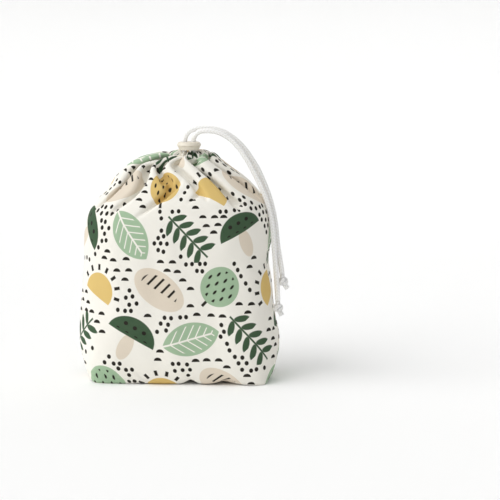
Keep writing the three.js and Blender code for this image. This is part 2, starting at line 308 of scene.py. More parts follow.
# Valleys of the roof: share of the way round from the front at the head and at the shoulder,
# depth, half width as a share, and how far up the roof the valley starts.
VALLEYS = [
    (-0.030, -0.024, 18.0, 0.022, 0.12),
    (0.028, 0.038, 16.0, 0.017, 0.16),
    (0.100, 0.117, 16.0, 0.024, 0.06),
    (-0.085, -0.096, 13.0, 0.023, 0.14),
    (-0.145, -0.167, 10.0, 0.022, 0.16),
    (0.185, 0.192, 8.0, 0.026, 0.16),
    (0.270, 0.255, 6.0, 0.026, 0.20),
    (0.350, 0.340, 6.0, 0.028, 0.25),
    (0.430, 0.440, 8.0, 0.028, 0.20),
    (0.505, 0.510, 6.5, 0.026, 0.30),
    (0.580, 0.570, 8.0, 0.030, 0.20),
    (0.660, 0.665, 6.0, 0.028, 0.25),
    (0.745, 0.745, 6.0, 0.026, 0.20),
]
# Where the base edge stands off the floor: share of the way round, half width and height.
BASE_LIFTS = [
    (0.024, 0.011, 4.4), (0.094, 0.020, 4.6), (0.030, 0.085, 0.9), (-0.070, 0.030, 0.5),
    (0.245, 0.030, 0.9), (0.430, 0.024, 1.8), (0.540, 0.020, 2.2), (0.745, 0.030, 1.0),
]
CLOTH_THICKNESS = 0.7
FLAT_WIDTH = 472.0

# Columns start at the left side seam; share 0 is the middle of the front.
share = np.arange(COLUMNS) / COLUMNS - 0.25


def outline_points(half_width, half_depth, squareness):
    """Superellipses |x/a|^n + |y/b|^n = 1, one per row, with points at even steps along each."""
    lap = np.linspace(0, 1, 2049)
    angle = TURN * lap - math.pi / 2
    power = (2 / squareness)[:, None]
    x = half_width[:, None] * np.sign(np.cos(angle)) * np.abs(np.cos(angle)) ** power
    y = half_depth[:, None] * np.sign(np.sin(angle)) * np.abs(np.sin(angle)) ** power
    rows = []
    for row_x, row_y in zip(x, y):
        along = run_length(np.stack([row_x, row_y], axis=1))
        at = np.mod(share, 1.0) * along[-1]
        rows.append(np.stack([np.interp(at, along, row_x), np.interp(at, along, row_y)], axis=1))
    return np.array(rows)


def plain_pouch():
    """The pouch without folds: outlines through the stations, at even steps up the side.

    Gives the grid of points, each row's station values and how far up the roof it is, 0 to 1.
    """
    # Steps up the side count the height in full, and the width and the depth in part.
    weights = np.sqrt([1.0, 0.6, 0.4])
    knots = run_length(STATIONS[:, :3] * weights)
    dense = hermite(np.linspace(0, knots[-1], 2000), knots, STATIONS)
    along = run_length(dense[:, :3] * weights)
    at = np.linspace(0, along[-1], ROWS)
    rows = np.stack([np.interp(at, along, dense[:, k]) for k in range(6)], axis=1)
    rising = slice(0, int(np.argmax(dense[:, 0])))
    shoulder = np.interp(SHOULDER_HEIGHT, dense[rising, 0], along[rising])
    up_roof = np.clip((at - shoulder) / (along[-1] - shoulder), 0, 1)
    points = np.empty((ROWS, COLUMNS, 3))
    points[..., :2] = outline_points(rows[:, 1], rows[:, 2], rows[:, 3]) + rows[:, None, 4:6]
    floor_gap, lift_fade = 0.15, 8.0
    lift = np.full(COLUMNS, floor_gap)
    for centre, width, height in BASE_LIFTS:
        away = np.mod(share - centre + 0.5, 1.0) - 0.5
        lift += height * np.exp(-((away / width) ** 2))
    points[..., 2] = rows[:, :1] + lift * np.exp(-rows[:, :1] / lift_fade)
    return points, rows, up_roof


def grid_normals(points):
    """Outward normals of a ring grid from differences between neighbours."""
    around = np.roll(points, -1, axis=1) - np.roll(points, 1, axis=1)
    normal = np.cross(around, np.gradient(points, axis=0))
    return normal / np.maximum(np.linalg.norm(normal, axis=-1, keepdims=True), 1e-9)


def pucker_wave():
    """The casing's puckers round the ring: a cosine whose spacing drifts."""
    drift = 0.9 * np.sin(2 * TURN * share + 1.0) + 0.7 * np.sin(5 * TURN * share)
    return np.cos(PUCKERS * TURN * share + drift)


def fold_heights(up_roof):
    """Height of the roof's folds: a slight swell, a Gaussian valley along each line, and puckers."""
    up = up_roof[:, None]
    swell, pucker = 3.0, 1.8
    height = swell * np.clip((up - 0.15) / 0.5, 0, 1) * (1 - np.clip((up - 0.8) / 0.2, 0, 1))
    for at_head, at_shoulder, depth, width, start in VALLEYS:
        centre = at_head + (at_shoulder - at_head) * (1 - up)
        away = np.mod(share - centre + 0.5, 1.0) - 0.5
        spread = width * (0.55 + 0.75 * (1 - up))
        grown = np.clip((up - start) / (0.75 - start), 0, 1)
        eased = 1 - 0.35 * np.clip((up - 0.8) / 0.2, 0, 1)
        height = height - depth * grown * eased * np.exp(-((away / spread) ** 2))
    return height + pucker * pucker_wave() * np.clip((up - 0.6) / 0.4, 0, 1) ** 2


def casing_rows(degrees):
    """The hem casing bunched on the cord: a tube round the ring whose width follows the puckers.

    Each row is at one angle of the tube's cross-section, from 0 outside over 90 on top to 180.
    """
    wave = pucker_wave()
    uneven = 1 + 0.25 * np.sin(3 * TURN * share + 0.6) + 0.25 * np.sin(7 * TURN * share + 2.0)
    outside = 5.6 + 2.2 * wave * np.clip(uneven, 0.4, 1.2)
    inside = 4.6 + 0.9 * wave
    upright = 4.1 + 0.8 * wave
    angle = np.radians(degrees)[:, None]
    reach = np.where(np.cos(angle) > 0, outside, inside) * np.cos(angle)
    round_ring = TURN * share - math.pi / 2
    radius = RING_RADIUS + reach
    x = RING_X + radius * np.cos(round_ring)
    y = RING_Y + radius * np.sin(round_ring)
    return np.stack([x, y, RING_Z + upright * np.sin(angle)], axis=-1)


class LinkPass:
    """Links between points of a ring grid, no two of which share a point.

    They run a number of columns along each row, or of rows up each column. The start shifts the
    set, and a slant of 1 or -1 shifts every other row, so that upright links become diagonals.
    """

    def __init__(self, along_row, step, start, slant):
        self.along_row, self.step, self.start, self.slant = along_row, step, start, slant

    def opened(self, grid):
        """The grid with its points shifted so that both ends of a link lie in one block."""
        if self.along_row:
            return np.roll(grid, -self.start, axis=1)
        if not self.slant:
            return grid
        shifted = grid.copy()
        shifted[self.start + 1::2] = np.roll(shifted[self.start + 1::2], self.slant, axis=1)
        return shifted

    def closed(self, grid):
        """An opened grid with its points shifted back."""
        if self.along_row:
            return np.roll(grid, self.start, axis=1)
        grid[self.start + 1::2] = np.roll(grid[self.start + 1::2], -self.slant, axis=1)
        return grid

    def ends(self, grid):
        """Views of an opened grid at the first and the second end of every link."""
        rows, columns = grid.shape[:2]
        block = 2 * self.step
        if self.along_row:
            pairs = grid.reshape(rows, columns // block, block, -1)
            return pairs[:, :, :self.step], pairs[:, :, self.step:]
        count = (rows - self.start) // block
        used = grid[self.start:self.start + count * block]
        pairs = used.reshape(count, block, columns, -1)
        return pairs[:, :self.step], pairs[:, self.step:]


class Cloth:
    """A ring grid of cloth that keeps its lengths: links pull their ends to a rest distance.

    It takes the points, which of them are free to move, and the rest lengths from each point to
    the next across its row and to the one above.
    """

    def __init__(self, points, free, across, upward):
        self.points = np.ascontiguousarray(points, dtype=np.float32)
        free = free[..., None].astype(np.float32)

        def above(rest, count):
            """The rest lengths a number of rows up."""
            return np.concatenate([rest[count:], np.repeat(rest[-1:], count, axis=0)])

        across_2 = across + np.roll(across, -1, axis=1)
        upward_2 = upward + above(upward, 1)
        slanted = np.hypot((across + above(across, 1)) / 2, upward)
        # Whether along a row, step, rest length, stiffness and slants of each family of links.
        families = [
            (True, 1, across, 1.0, (0,)),
            (True, 2, across_2, 0.12, (0,)),
            (True, 4, across_2 + np.roll(across_2, -2, axis=1), 0.02, (0,)),
            (False, 1, upward, 1.0, (0,)),
            (False, 2, upward_2, 0.25, (0,)),
            (False, 4, upward_2 + above(upward_2, 2), 0.05, (0,)),
            (False, 1, slanted, 0.25, (-1, 1)),
        ]
        self.links = []
        for along_row, step, rest, stiffness, slants in families:
            rest = rest[..., None].astype(np.float32)
            for start in (0, step):
                for slant in slants:
                    link = LinkPass(along_row, step, start, slant)
                    length = link.ends(link.opened(rest))[0][..., 0]
                    first, second = link.ends(link.opened(free))
                    total = np.maximum(first + second, 1e-6)
                    pulls = (stiffness * first / total, stiffness * second / total)
                    self.links.append((link, length.copy(), *pulls))

    def settle_links(self):
        """Moves the ends of every link once, in turn, towards its rest length."""
        for link, rest, first_pull, second_pull in self.links:
            opened = link.opened(self.points)
            first, second = link.ends(opened)
            gap = second - first
            length = np.maximum(np.sqrt(np.einsum("...i,...i->...", gap, gap)), 1e-6)
            gap *= ((length - rest) / length)[..., None]
            first += first_pull * gap
            second -= second_pull * gap
            self.points = np.ascontiguousarray(link.closed(opened))


def rest_lengths(plain, casing, up_roof):
    """The flat cloth's lengths from each point to the next across its row and to the one above.

    Up to the shoulder a row is a trace wider than the plain pouch. Up the roof the width eases, by
    a power of the way up, to that of the casing. The roof's shorter slopes get part of the length
    by which the longest one exceeds them.
    """
    body_slack, casing_slack, easing = 1.002, 1.02, 3.4
    rise_slack, spare_share, spare_factor = 0.999, 0.35, 1.15
    body = int((up_roof <= 0).sum())
    around = np.linalg.norm(np.roll(plain, -1, axis=1) - plain, axis=-1).sum(axis=1)
    drawn_in = np.linalg.norm(np.roll(casing[0], -1, axis=0) - casing[0], axis=-1).sum()
    width = body_slack * around
    gathers = around[body - 1] + (casing_slack * drawn_in - around[body - 1]) * up_roof**easing
    width[body:] = np.maximum(gathers, around)[body:]
    across = np.repeat(width[:, None] / COLUMNS, COLUMNS, axis=1)
    rise = np.linalg.norm(np.diff(plain, axis=0), axis=-1)
    roof_rise = rise[body - 1:].sum(axis=0)
    spare = spare_share * (roof_rise.max() - roof_rise) / roof_rise
    ramp = np.clip(up_roof[:-1] / 0.3, 0, 1)[:, None]
    rise *= rise_slack + spare_factor * ramp * spare
    return across, np.concatenate([rise, rise[-1:]])


def gathered_pouch():
    """The pouch's cloth, drawn in at the head and settled on what it holds.

    The cloth starts as the plain pouch with the folds' valleys pressed in. Its rest lengths are
    those of a tube that is gathered into the casing, so it is too wide for the roof and buckles
    between the valleys. It is pushed out a little, sags on the roof, can't enter the filling and
    stays within a set distance of the plain pouch.
    """
    plain, rows, up_roof = plain_pouch()
    outward = grid_normals(plain)
    casing = casing_rows(np.linspace(-15, 235, 18))
    start = plain + outward * fold_heights(up_roof)[..., None]
    start[-1] = casing[0]
    free = np.ones((ROWS, COLUMNS))
    free[[0, -1]] = 0
    cloth = Cloth(start, free, *rest_lengths(plain, casing, up_roof))

    # How far the cloth may stray from the plain pouch, and how far outwards.
    height = rows[:, 0]
    body = up_roof <= 0
    cap = np.interp(up_roof, [0, 0.1, 0.35, 1], [4.5, 6.0, 13.0, 13.0])
    cap[body] = np.interp(height[body], [0, 20, 80, 137], [0.8, 2.0, 2.5, 4.5])
    cap = cap[:, None, None]
    puff = np.interp(up_roof, [0, 0.12, 0.25, 0.42, 0.6, 1], [4.5, 5.2, 5.8, 2.8, 1.6, 2.0])[:, None]
    # How far a step pushes it outwards and sinks it.
    push = np.interp(up_roof, [0, 0.12, 0.4, 1], [0.03, 0.030, 0.014, 0.006])[:, None, None]
    sink = 0.002 * np.clip(up_roof / 0.4 - 0.25, 0, 1)[:, None]
    # The filling is the plain pouch drawn in by a hollow that grows up the roof.
    rising = slice(0, int(np.argmax(height)))
    hollow = np.interp(up_roof, [0, 0.15, 0.6, 1], [1.5, 5, 14, 16])[:, None]
    filling = [*np.maximum(rows[:, 1:3] - hollow, 3).T, *rows[:, 3:].T]
    filling_top = 188.0

    def hold(points):
        """Keeps the points above the floor and near the plain pouch, and out of the filling.

        The filling's outlines are superellipses, and a point inside comes half of the way out.
        """
        levels = [np.interp(points[..., 2], height[rising], v[rising]) for v in filling]
        half_width, half_depth, squareness, x, y = levels
        away = points[..., :2] - np.stack([x, y], axis=-1)
        inside = (np.abs(away[..., 0]) / half_width) ** squareness
        inside = inside + (np.abs(away[..., 1]) / half_depth) ** squareness
        hit = (inside < 1) & (points[..., 2] < filling_top)
        grow = np.where(hit, np.maximum(inside, 0.05) ** (-1 / squareness), 1.0)
        points[..., :2] += away * (0.5 * (grow - 1))[..., None]
        points[..., 2] = np.maximum(points[..., 2], 0)
        strayed = points - plain
        puffed = np.maximum((strayed * outward).sum(axis=-1) - puff, 0)
        strayed = strayed - outward * puffed[..., None]
        far = np.linalg.norm(strayed, axis=-1, keepdims=True)
        return (plain + strayed * np.minimum(1, cap / np.maximum(far, 1e-6))).astype(np.float32)

    last = cloth.points.copy()
    kept_speed = 0.85
    for _ in range(SETTLING_STEPS):
        moving = kept_speed * (cloth.points - last)
        speed = np.linalg.norm(moving, axis=-1, keepdims=True)
        moving *= np.minimum(1, 1 / np.maximum(speed, 1e-9))
        moving += push * grid_normals(cloth.points)
        moving[..., 2] -= sink
        last = cloth.points.copy()
        cloth.points = cloth.points + (moving * free[..., None]).astype(np.float32)
        for _ in range(LINK_SWEEPS):
            cloth.settle_links()
        cloth.points = hold(cloth.points)
        cloth.points[0], cloth.points[-1] = plain[0], casing[0]
    settled = deepened_folds(cloth.points.astype(float), up_roof)
    return np.concatenate([settled, casing[1:]])


def deepened_folds(points, up_roof):
    """Valleys pressed in further, by a share of how far they lie inside the roof's own average.

    The average is a Hann window over nearby columns, and the depth is taken along the normals.
    """
    share_deeper, reach = 0.8, 14
    window = np.hanning(2 * reach + 1)
    shifts = range(-reach, reach + 1)
    average = sum(w * np.roll(points, k, axis=1) for w, k in zip(window / window.sum(), shifts))
    normals = grid_normals(points)
    depth = np.maximum(((average - points) * normals).sum(axis=-1), 0)
    ease = np.interp(up_roof, [0, 0.25, 0.8, 0.97], [0, 1, 1, 0])[:, None]
    return points - normals * (share_deeper * ease * depth)[..., None]


def slack_body(points):
    """Soft dents and swells down the sides: long waves that lean, a millimetre or so high.

    A broad shallow dent, Gaussian both ways, lies right of the front's middle.
    """
    row_rise, wave_height, dent_depth = 1.65, 0.9, 3.0
    along = row_rise * np.arange(1, len(points) + 1)[:, None]
    turn = TURN * share
    wave = np.sin(4 * turn + along / 38 + 0.6) * np.sin(along / 31 + 1.2 * np.cos(3 * turn))
    wave += 0.7 * np.sin(9 * turn - along / 52 + 2.0) * np.sin(along / 44 + turn + 0.4)
    wave += 0.4 * np.sin(17 * turn + along / 24) * np.sin(along / 27 - 2 * turn)
    ease = np.clip(along / 25, 0, 1) * np.clip((175 - along) / 40, 0, 1)
    dent = dent_depth * np.exp(-(((share - 0.050) / 0.050) ** 2) - ((along - 78) / 48) ** 2)
    return points + grid_normals(points) * (wave_height * wave * ease - dent)[..., None]


def sewn_seams(points):
    """The side seams pressed in as narrow grooves that pucker along their length.

    Across a seam the depth is a narrow Gaussian less a low wide one, so its sides swell a little.
    """
    groove_depth, groove_width, swell_width = 0.9, 1.6, 5.0
    near_seam = np.abs(np.mod(share + 0.5, 0.5) - 0.25) * FLAT_WIDTH
    groove = np.exp(-((near_seam / groove_width) ** 2))
    groove -= 0.35 * np.exp(-((near_seam / swell_width) ** 2))
    along = np.arange(len(points))[:, None]
    pucker = 0.75 + 0.25 * np.sin(along * 1.1 + 3 * np.sin(along * 0.13))
    end = np.clip((ROWS - 12 - along) / 20, 0, 1)
    return points - grid_normals(points) * (groove_depth * groove * pucker * end)[..., None]


def base_rings(edge):
    """The boxed base inside its edge: rings drawn in to the middle, a little off the floor.

    Where the edge is lifted the base follows it, by the square of the way out from the middle.
    """
    shrink = np.array([0.0, 0.12, 0.3, 0.5, 0.7, 0.86, 0.95, 0.985])[:, None, None]
    floor_gap, lifted_share = 0.25, 0.8
    middle = np.array([edge[:, 0].mean(), edge[:, 1].mean(), 0.0])
    rings = middle + (edge - middle) * shrink
    rings[..., 2] = floor_gap + lifted_share * edge[:, 2] * shrink[..., 0] ** 2
    return rings[1:], rings[0, 0]


def pouch_cloth():
    """The pouch's cloth as one sheet, from the middle of the base to the casing's inner edge."""
    points = sewn_seams(slack_body(gathered_pouch()))
    rings, middle = base_rings(points[0])
    grid = np.concatenate([rings, points])
    rows = len(grid)
    faces = ring_faces(rows, COLUMNS)
    rise = np.linalg.norm(np.diff(grid, axis=0), axis=-1).mean(axis=1)
    height = np.concatenate([[0.0], np.cumsum(rise)]) / FLAT_WIDTH
    uvs = ring_uvs(np.linspace(0, 1, COLUMNS + 1), height)
    pole = rows * COLUMNS
    ring = np.arange(COLUMNS)
    fan = np.stack([np.full(COLUMNS, pole), np.roll(ring, -1), ring], axis=1)
    all_points = np.concatenate([grid.reshape(-1, 3), middle[None]])
    # The base takes the print straight from its width and depth.
    base_faces = len(rings) * COLUMNS
    corners = np.concatenate([fan.ravel(), faces[:base_faces].ravel()])
    base_uvs = all_points[corners, :2] / FLAT_WIDTH + (0.25, 0.75)
    all_uvs = np.concatenate([base_uvs, uvs[4 * base_faces:]])
    made = add_object("pouch_cloth", all_points, fan.tolist() + faces.tolist(), all_uvs)
    solidify = made.modifiers.new("thickness", "SOLIDIFY")
    solidify.thickness = CLOTH_THICKNESS * MM
    solidify.offset = -1
    solidify.material_offset = 1
    solidify.material_offset_rim = 1
    return made


# Cord, knots and stopper

MOUTH_HEIGHT = 199.5
HOLE_SPACING = 7.4
CORD_RADIUS = 2.2
EXIT_Y = RING_Y - math.sqrt(RING_RADIUS**2 - (HOLE_SPACING / 2) ** 2)
CHANNEL_HEIGHT = 194.2
# Routes of the free cord ends from the casing's top at each exit.
LEFT_ROUTE = [
    (0, 0, 1.5), (0, 0, 5), (0, 0, 7.7), (0.4, 0.1, 10.7), (1.6, 0.3, 13.6), (3.7, 0.7, 16.1),
    (6.6, 1.1, 17.8), (10.2, 1.5, 18.7), (14.6, 1.9, 19.1), (20, 2.2, 19.1), (26.1, 2.4, 18.5),
    (32.6, 2.4, 16.6), (39.5, 2.2, 12.8), (45.6, 1.8, 8.1), (51.7, 1.2, 1.8), (57.3, 0.5, -5.9),
    (63, -0.2, -14.9), (67.7, -0.9, -24.8), (71.6, -1.6, -34.2), (74.7, -2.2, -43.7),
    (77.3, -2.7, -54.1), (79.3, -3.1, -66.3), (80.9, -3.4, -81.9), (82.5, -3.6, -92.4),
    (83.8, -3.7, -100), (84.8, -3.8, -107.1),
]
RIGHT_ROUTE = [
    (0, 0, 1.5), (0, 0, 5), (0, 0, 7.5), (0.4, -0.2, 10.4), (1.7, -0.7, 13), (3.7, -1.4, 15.1),
    (6.2, -2.1, 16.5), (9.3, -2.8, 17.1), (15.6, -3.5, 17.1), (20.8, -3.8, 16.3),
    (26.1, -4, 14.3), (31.7, -4.2, 10.7), (37.4, -4.5, 5.6), (42.6, -4.9, -0.8),
    (47.8, -5.3, -9), (53, -5.7, -18.4), (57.8, -6.2, -27.8), (61.7, -6.6, -36.4),
    (65.1, -7, -45.5), (67.7, -7.3, -55.9), (69.3, -7.6, -66.3), (70.6, -7.9, -82),
    (71.9, -8.2, -98.6), (73.2, -8.6, -116.1), (73.9, -8.8, -129.5),
]
BRAID_COLUMNS = 6
BRAID_SIDES = 30
BRAID_PITCH = 2.7
BRAID_DEPTH = 0.42
BRAID_LEAN = 0.9
CORD_STEP = 0.45


def braided_tube(path, radius=CORD_RADIUS, first=0):
    """Points, faces and corner coordinates of a braided cord along an evenly spaced path.

    The surface is a circle carried along the path. Stitches in columns round it lean left and
    right in turn, so they make chevrons: height |sin(pi (s / pitch + lean (x - 1/2)))| at a
    length s and a place x across the column, fading to the column's edges. The faces number the
    points from the first one on.
    """
    across, up = path_frames(path)
    along = run_length(path)[:, None]
    lap = np.arange(BRAID_SIDES) / BRAID_SIDES
    column = np.floor(lap * BRAID_COLUMNS)
    x = lap * BRAID_COLUMNS - column + 0.5 / (BRAID_SIDES / BRAID_COLUMNS)
    lean = np.where(column % 2 == 0, BRAID_LEAN, -BRAID_LEAN)
    stitch = np.abs(np.sin(math.pi * (along / BRAID_PITCH + lean * (x - 0.5))))
    height = np.sqrt(stitch) * np.sqrt(np.sin(math.pi * x))
    mean_height = 0.75
    reach = radius + BRAID_DEPTH * (height - mean_height)
    angle = TURN * lap
    ring = across[:, None] * np.cos(angle)[:, None] + up[:, None] * np.sin(angle)[:, None]
    points = path[:, None] + ring * reach[..., None]
    faces = (first + ring_faces(len(path), BRAID_SIDES)).tolist()
    lid = first + np.arange(BRAID_SIDES)
    ends = [lid[::-1].tolist(), (lid + (len(path) - 1) * BRAID_SIDES).tolist()]
    uvs = ring_uvs(np.linspace(0, 1, BRAID_SIDES + 1), along[:, 0] / BRAID_PITCH)
    uvs = np.concatenate([uvs, np.full((2 * BRAID_SIDES, 2), 0.5)])
    return points.reshape(-1, 3), faces + ends, uvs


def cord_end(name, side, route):
    """A free end of the drawcord from inside the casing to its knot, and the path it follows."""
    exit_point = np.array([RING_X + side * HOLE_SPACING / 2, EXIT_Y, MOUTH_HEIGHT])
    start = np.array([exit_point[0], exit_point[1], CHANNEL_HEIGHT])
    path = even_path(np.concatenate([[start], exit_point + np.array(route)]), CORD_STEP)
    return add_object(name, *braided_tube(path)), path


def casing_cord():
    """The drawcord's run round the ring inside the casing, from one exit back to the other."""
    clearance, step = 0.3, 0.6
    start = math.asin(HOLE_SPACING / 2 / RING_RADIUS) + (CORD_RADIUS + clearance) / RING_RADIUS
    turn = np.linspace(start, TURN - start, 60) - math.pi / 2
    x = RING_X + RING_RADIUS * np.cos(turn)
    y = RING_Y + RING_RADIUS * np.sin(turn)
    path = even_path(np.stack([x, y, np.full_like(x, CHANNEL_HEIGHT)], axis=1), step)
    return add_object("casing_cord", *braided_tube(path))


def end_knot(name, path):
    """A tight overhand knot at a cord's end: three lobes round the cord, and the cut end below.

    The lobes follow r = lobe (1 + bulge cos 3t) at the angle 2t, rising and falling with sin 3t.
    """
    lobe, bulge, rise, gap = 1.75, 0.45, 1.76, 0.3
    middle = -(2 * CORD_RADIUS + rise)
    t = np.linspace(0, TURN, 150)
    out = lobe * (1 + bulge * np.cos(3 * t))
    lap = np.stack([out * np.cos(2 * t), out * np.sin(2 * t), middle + rise * np.sin(3 * t)], axis=1)
    lap[-1] = lap[0]
    standing = even_path([(0, 0, -gap), (0, 0, middle / 2), (0, 0, middle)], CORD_STEP)
    tail_end = (3.0, 0, middle - rise - 5.0)
    tail = even_path([(0, 0, middle), (1.0, 0, middle - 2.6), tail_end], CORD_STEP)
    direction = Vector(path[-1] - path[-2]).normalized()
    turn = np.array(Vector((0, 0, -1)).rotation_difference(direction).to_matrix())
    points, faces, uvs = [], [], []
    # The cord is pulled thin in the lobes.
    for run, thinning in ((lap, 0.85), (standing, 1.0), (tail, 0.95)):
        first = sum(len(p) for p in points)
        run_points, run_faces, run_uvs = braided_tube(run, thinning * CORD_RADIUS, first)
        points.append(run_points @ turn.T + path[-1])
        faces += run_faces
        uvs.append(run_uvs)
    return add_object(name, np.concatenate(points), faces, np.concatenate(uvs))


STOPPER_Z = 199.9
STOPPER_HEIGHT = 7.0
STOPPER_HOLE = 2.8
# Radius and height of the stopper's section, from the middle of its foot to that of its top.
STOPPER_SECTION = [
    (0, 0), (7.4, 0), (8.1, 0.06), (8.5, 0.3), (8.72, 0.75), (9.1, 1.6), (9.5, 2.5), (9.72, 3.0),
    (9.78, 3.2), (9.68, 3.34), (9.42, 3.42), (9.36, 3.5), (9.42, 3.58), (10.2, 3.7),
    (10.42, 3.85), (10.5, 4.15), (10.42, 4.5), (10.25, 4.9), (9.85, 5.7), (9.6, 6.2),
    (9.35, 6.58), (8.95, 6.86), (8.4, 6.98), (7.6, 7.0), (0, 7.0),
]


def lathe(name, section, sides, place):
    """A section of radius and height turned round an upright axis, closed at both poles."""
    section = np.array(section, dtype=float)
    angle = TURN * np.arange(sides) / sides
    body = section[1:-1]
    x = body[:, :1] * np.cos(angle) + place[0]
    y = body[:, :1] * np.sin(angle) + place[1]
    z = np.repeat(body[:, 1:] + place[2], sides, axis=1)
    points = np.stack([x, y, z], axis=-1).reshape(-1, 3)
    poles = np.array([[place[0], place[1], place[2] + section[i, 1]] for i in (0, -1)])
    ring, count = np.arange(sides), len(body) * sides
    foot = np.stack([np.full(sides, count), np.roll(ring, -1), ring], axis=1)
    last = ring + count - sides
    top = np.stack([np.full(sides, count + 1), last, np.roll(last, -1)], axis=1)
    faces = ring_faces(len(body), sides).tolist() + foot.tolist() + top.tolist()
    return add_object(name, np.concatenate([points, poles]), faces)


def cord_stopper():
    """The moulded stopper: its turned body with two flared cord holes cut through it."""
    body = lathe("stopper_moulding", STOPPER_SECTION, 96, (RING_X, EXIT_Y, STOPPER_Z))
    flare, lip, past = 0.5, 0.15, 1.0
    wide = STOPPER_HOLE + flare
    section = [
        (0, -past), (wide, -past), (wide, 0), (STOPPER_HOLE + lip, lip), (STOPPER_HOLE, flare),
        (STOPPER_HOLE, STOPPER_HEIGHT - flare), (STOPPER_HOLE + lip, STOPPER_HEIGHT - lip),
        (wide, STOPPER_HEIGHT), (wide, STOPPER_HEIGHT + past), (0, STOPPER_HEIGHT + past),
    ]
    for side in (-1, 1):
        place = (RING_X + side * HOLE_SPACING / 2, EXIT_Y, STOPPER_Z)
        cutter = lathe("hole_cutter", section, 48, place)
        cut = body.modifiers.new("hole", "BOOLEAN")
        cut.operation = "DIFFERENCE"
        cut.object = cutter
        graph = bpy.context.evaluated_depsgraph_get()
        mesh = bpy.data.meshes.new_from_object(body.evaluated_get(graph))
        body.modifiers.clear()
        body.data = mesh
        bpy.data.objects.remove(cutter)
    return body


# Finishes

CREAM = linear("f6f3ea")
SAGE = linear("a3be9e")
FOREST = linear("38553b")
MUSTARD = linear("ddbe75")
SAND = linear("e4d8c6")
INK = linear("14110b")


def filled(distance):
    """Mask of a printed shape from its signed distance in millimetres."""
    soft_edge = 0.35
    return (0.5 - distance / soft_edge).clamp()


def ellipse(x, y, half_x, half_y):
    """About the signed distance to an ellipse: its level less 1, times its smaller half size."""
    r = ((x / half_x) * (x / half_x) + (y / half_y) * (y / half_y)).sqrt()
    return (r - 1.0) * min(half_x, half_y)


def turned(x, y, degrees):
    """A place in axes that are turned by an angle."""
    c, s = math.cos(math.radians(degrees)), math.sin(math.radians(degrees))
    return x * c + y * s, y * c - x * s


def slubs(g, x, y):
    """The yarn's thick and thin places: soft noise drawn out along it."""
    return g.noise(g.join(x * 0.35, y * 2.2, 1.0), 1.0, 2.0)


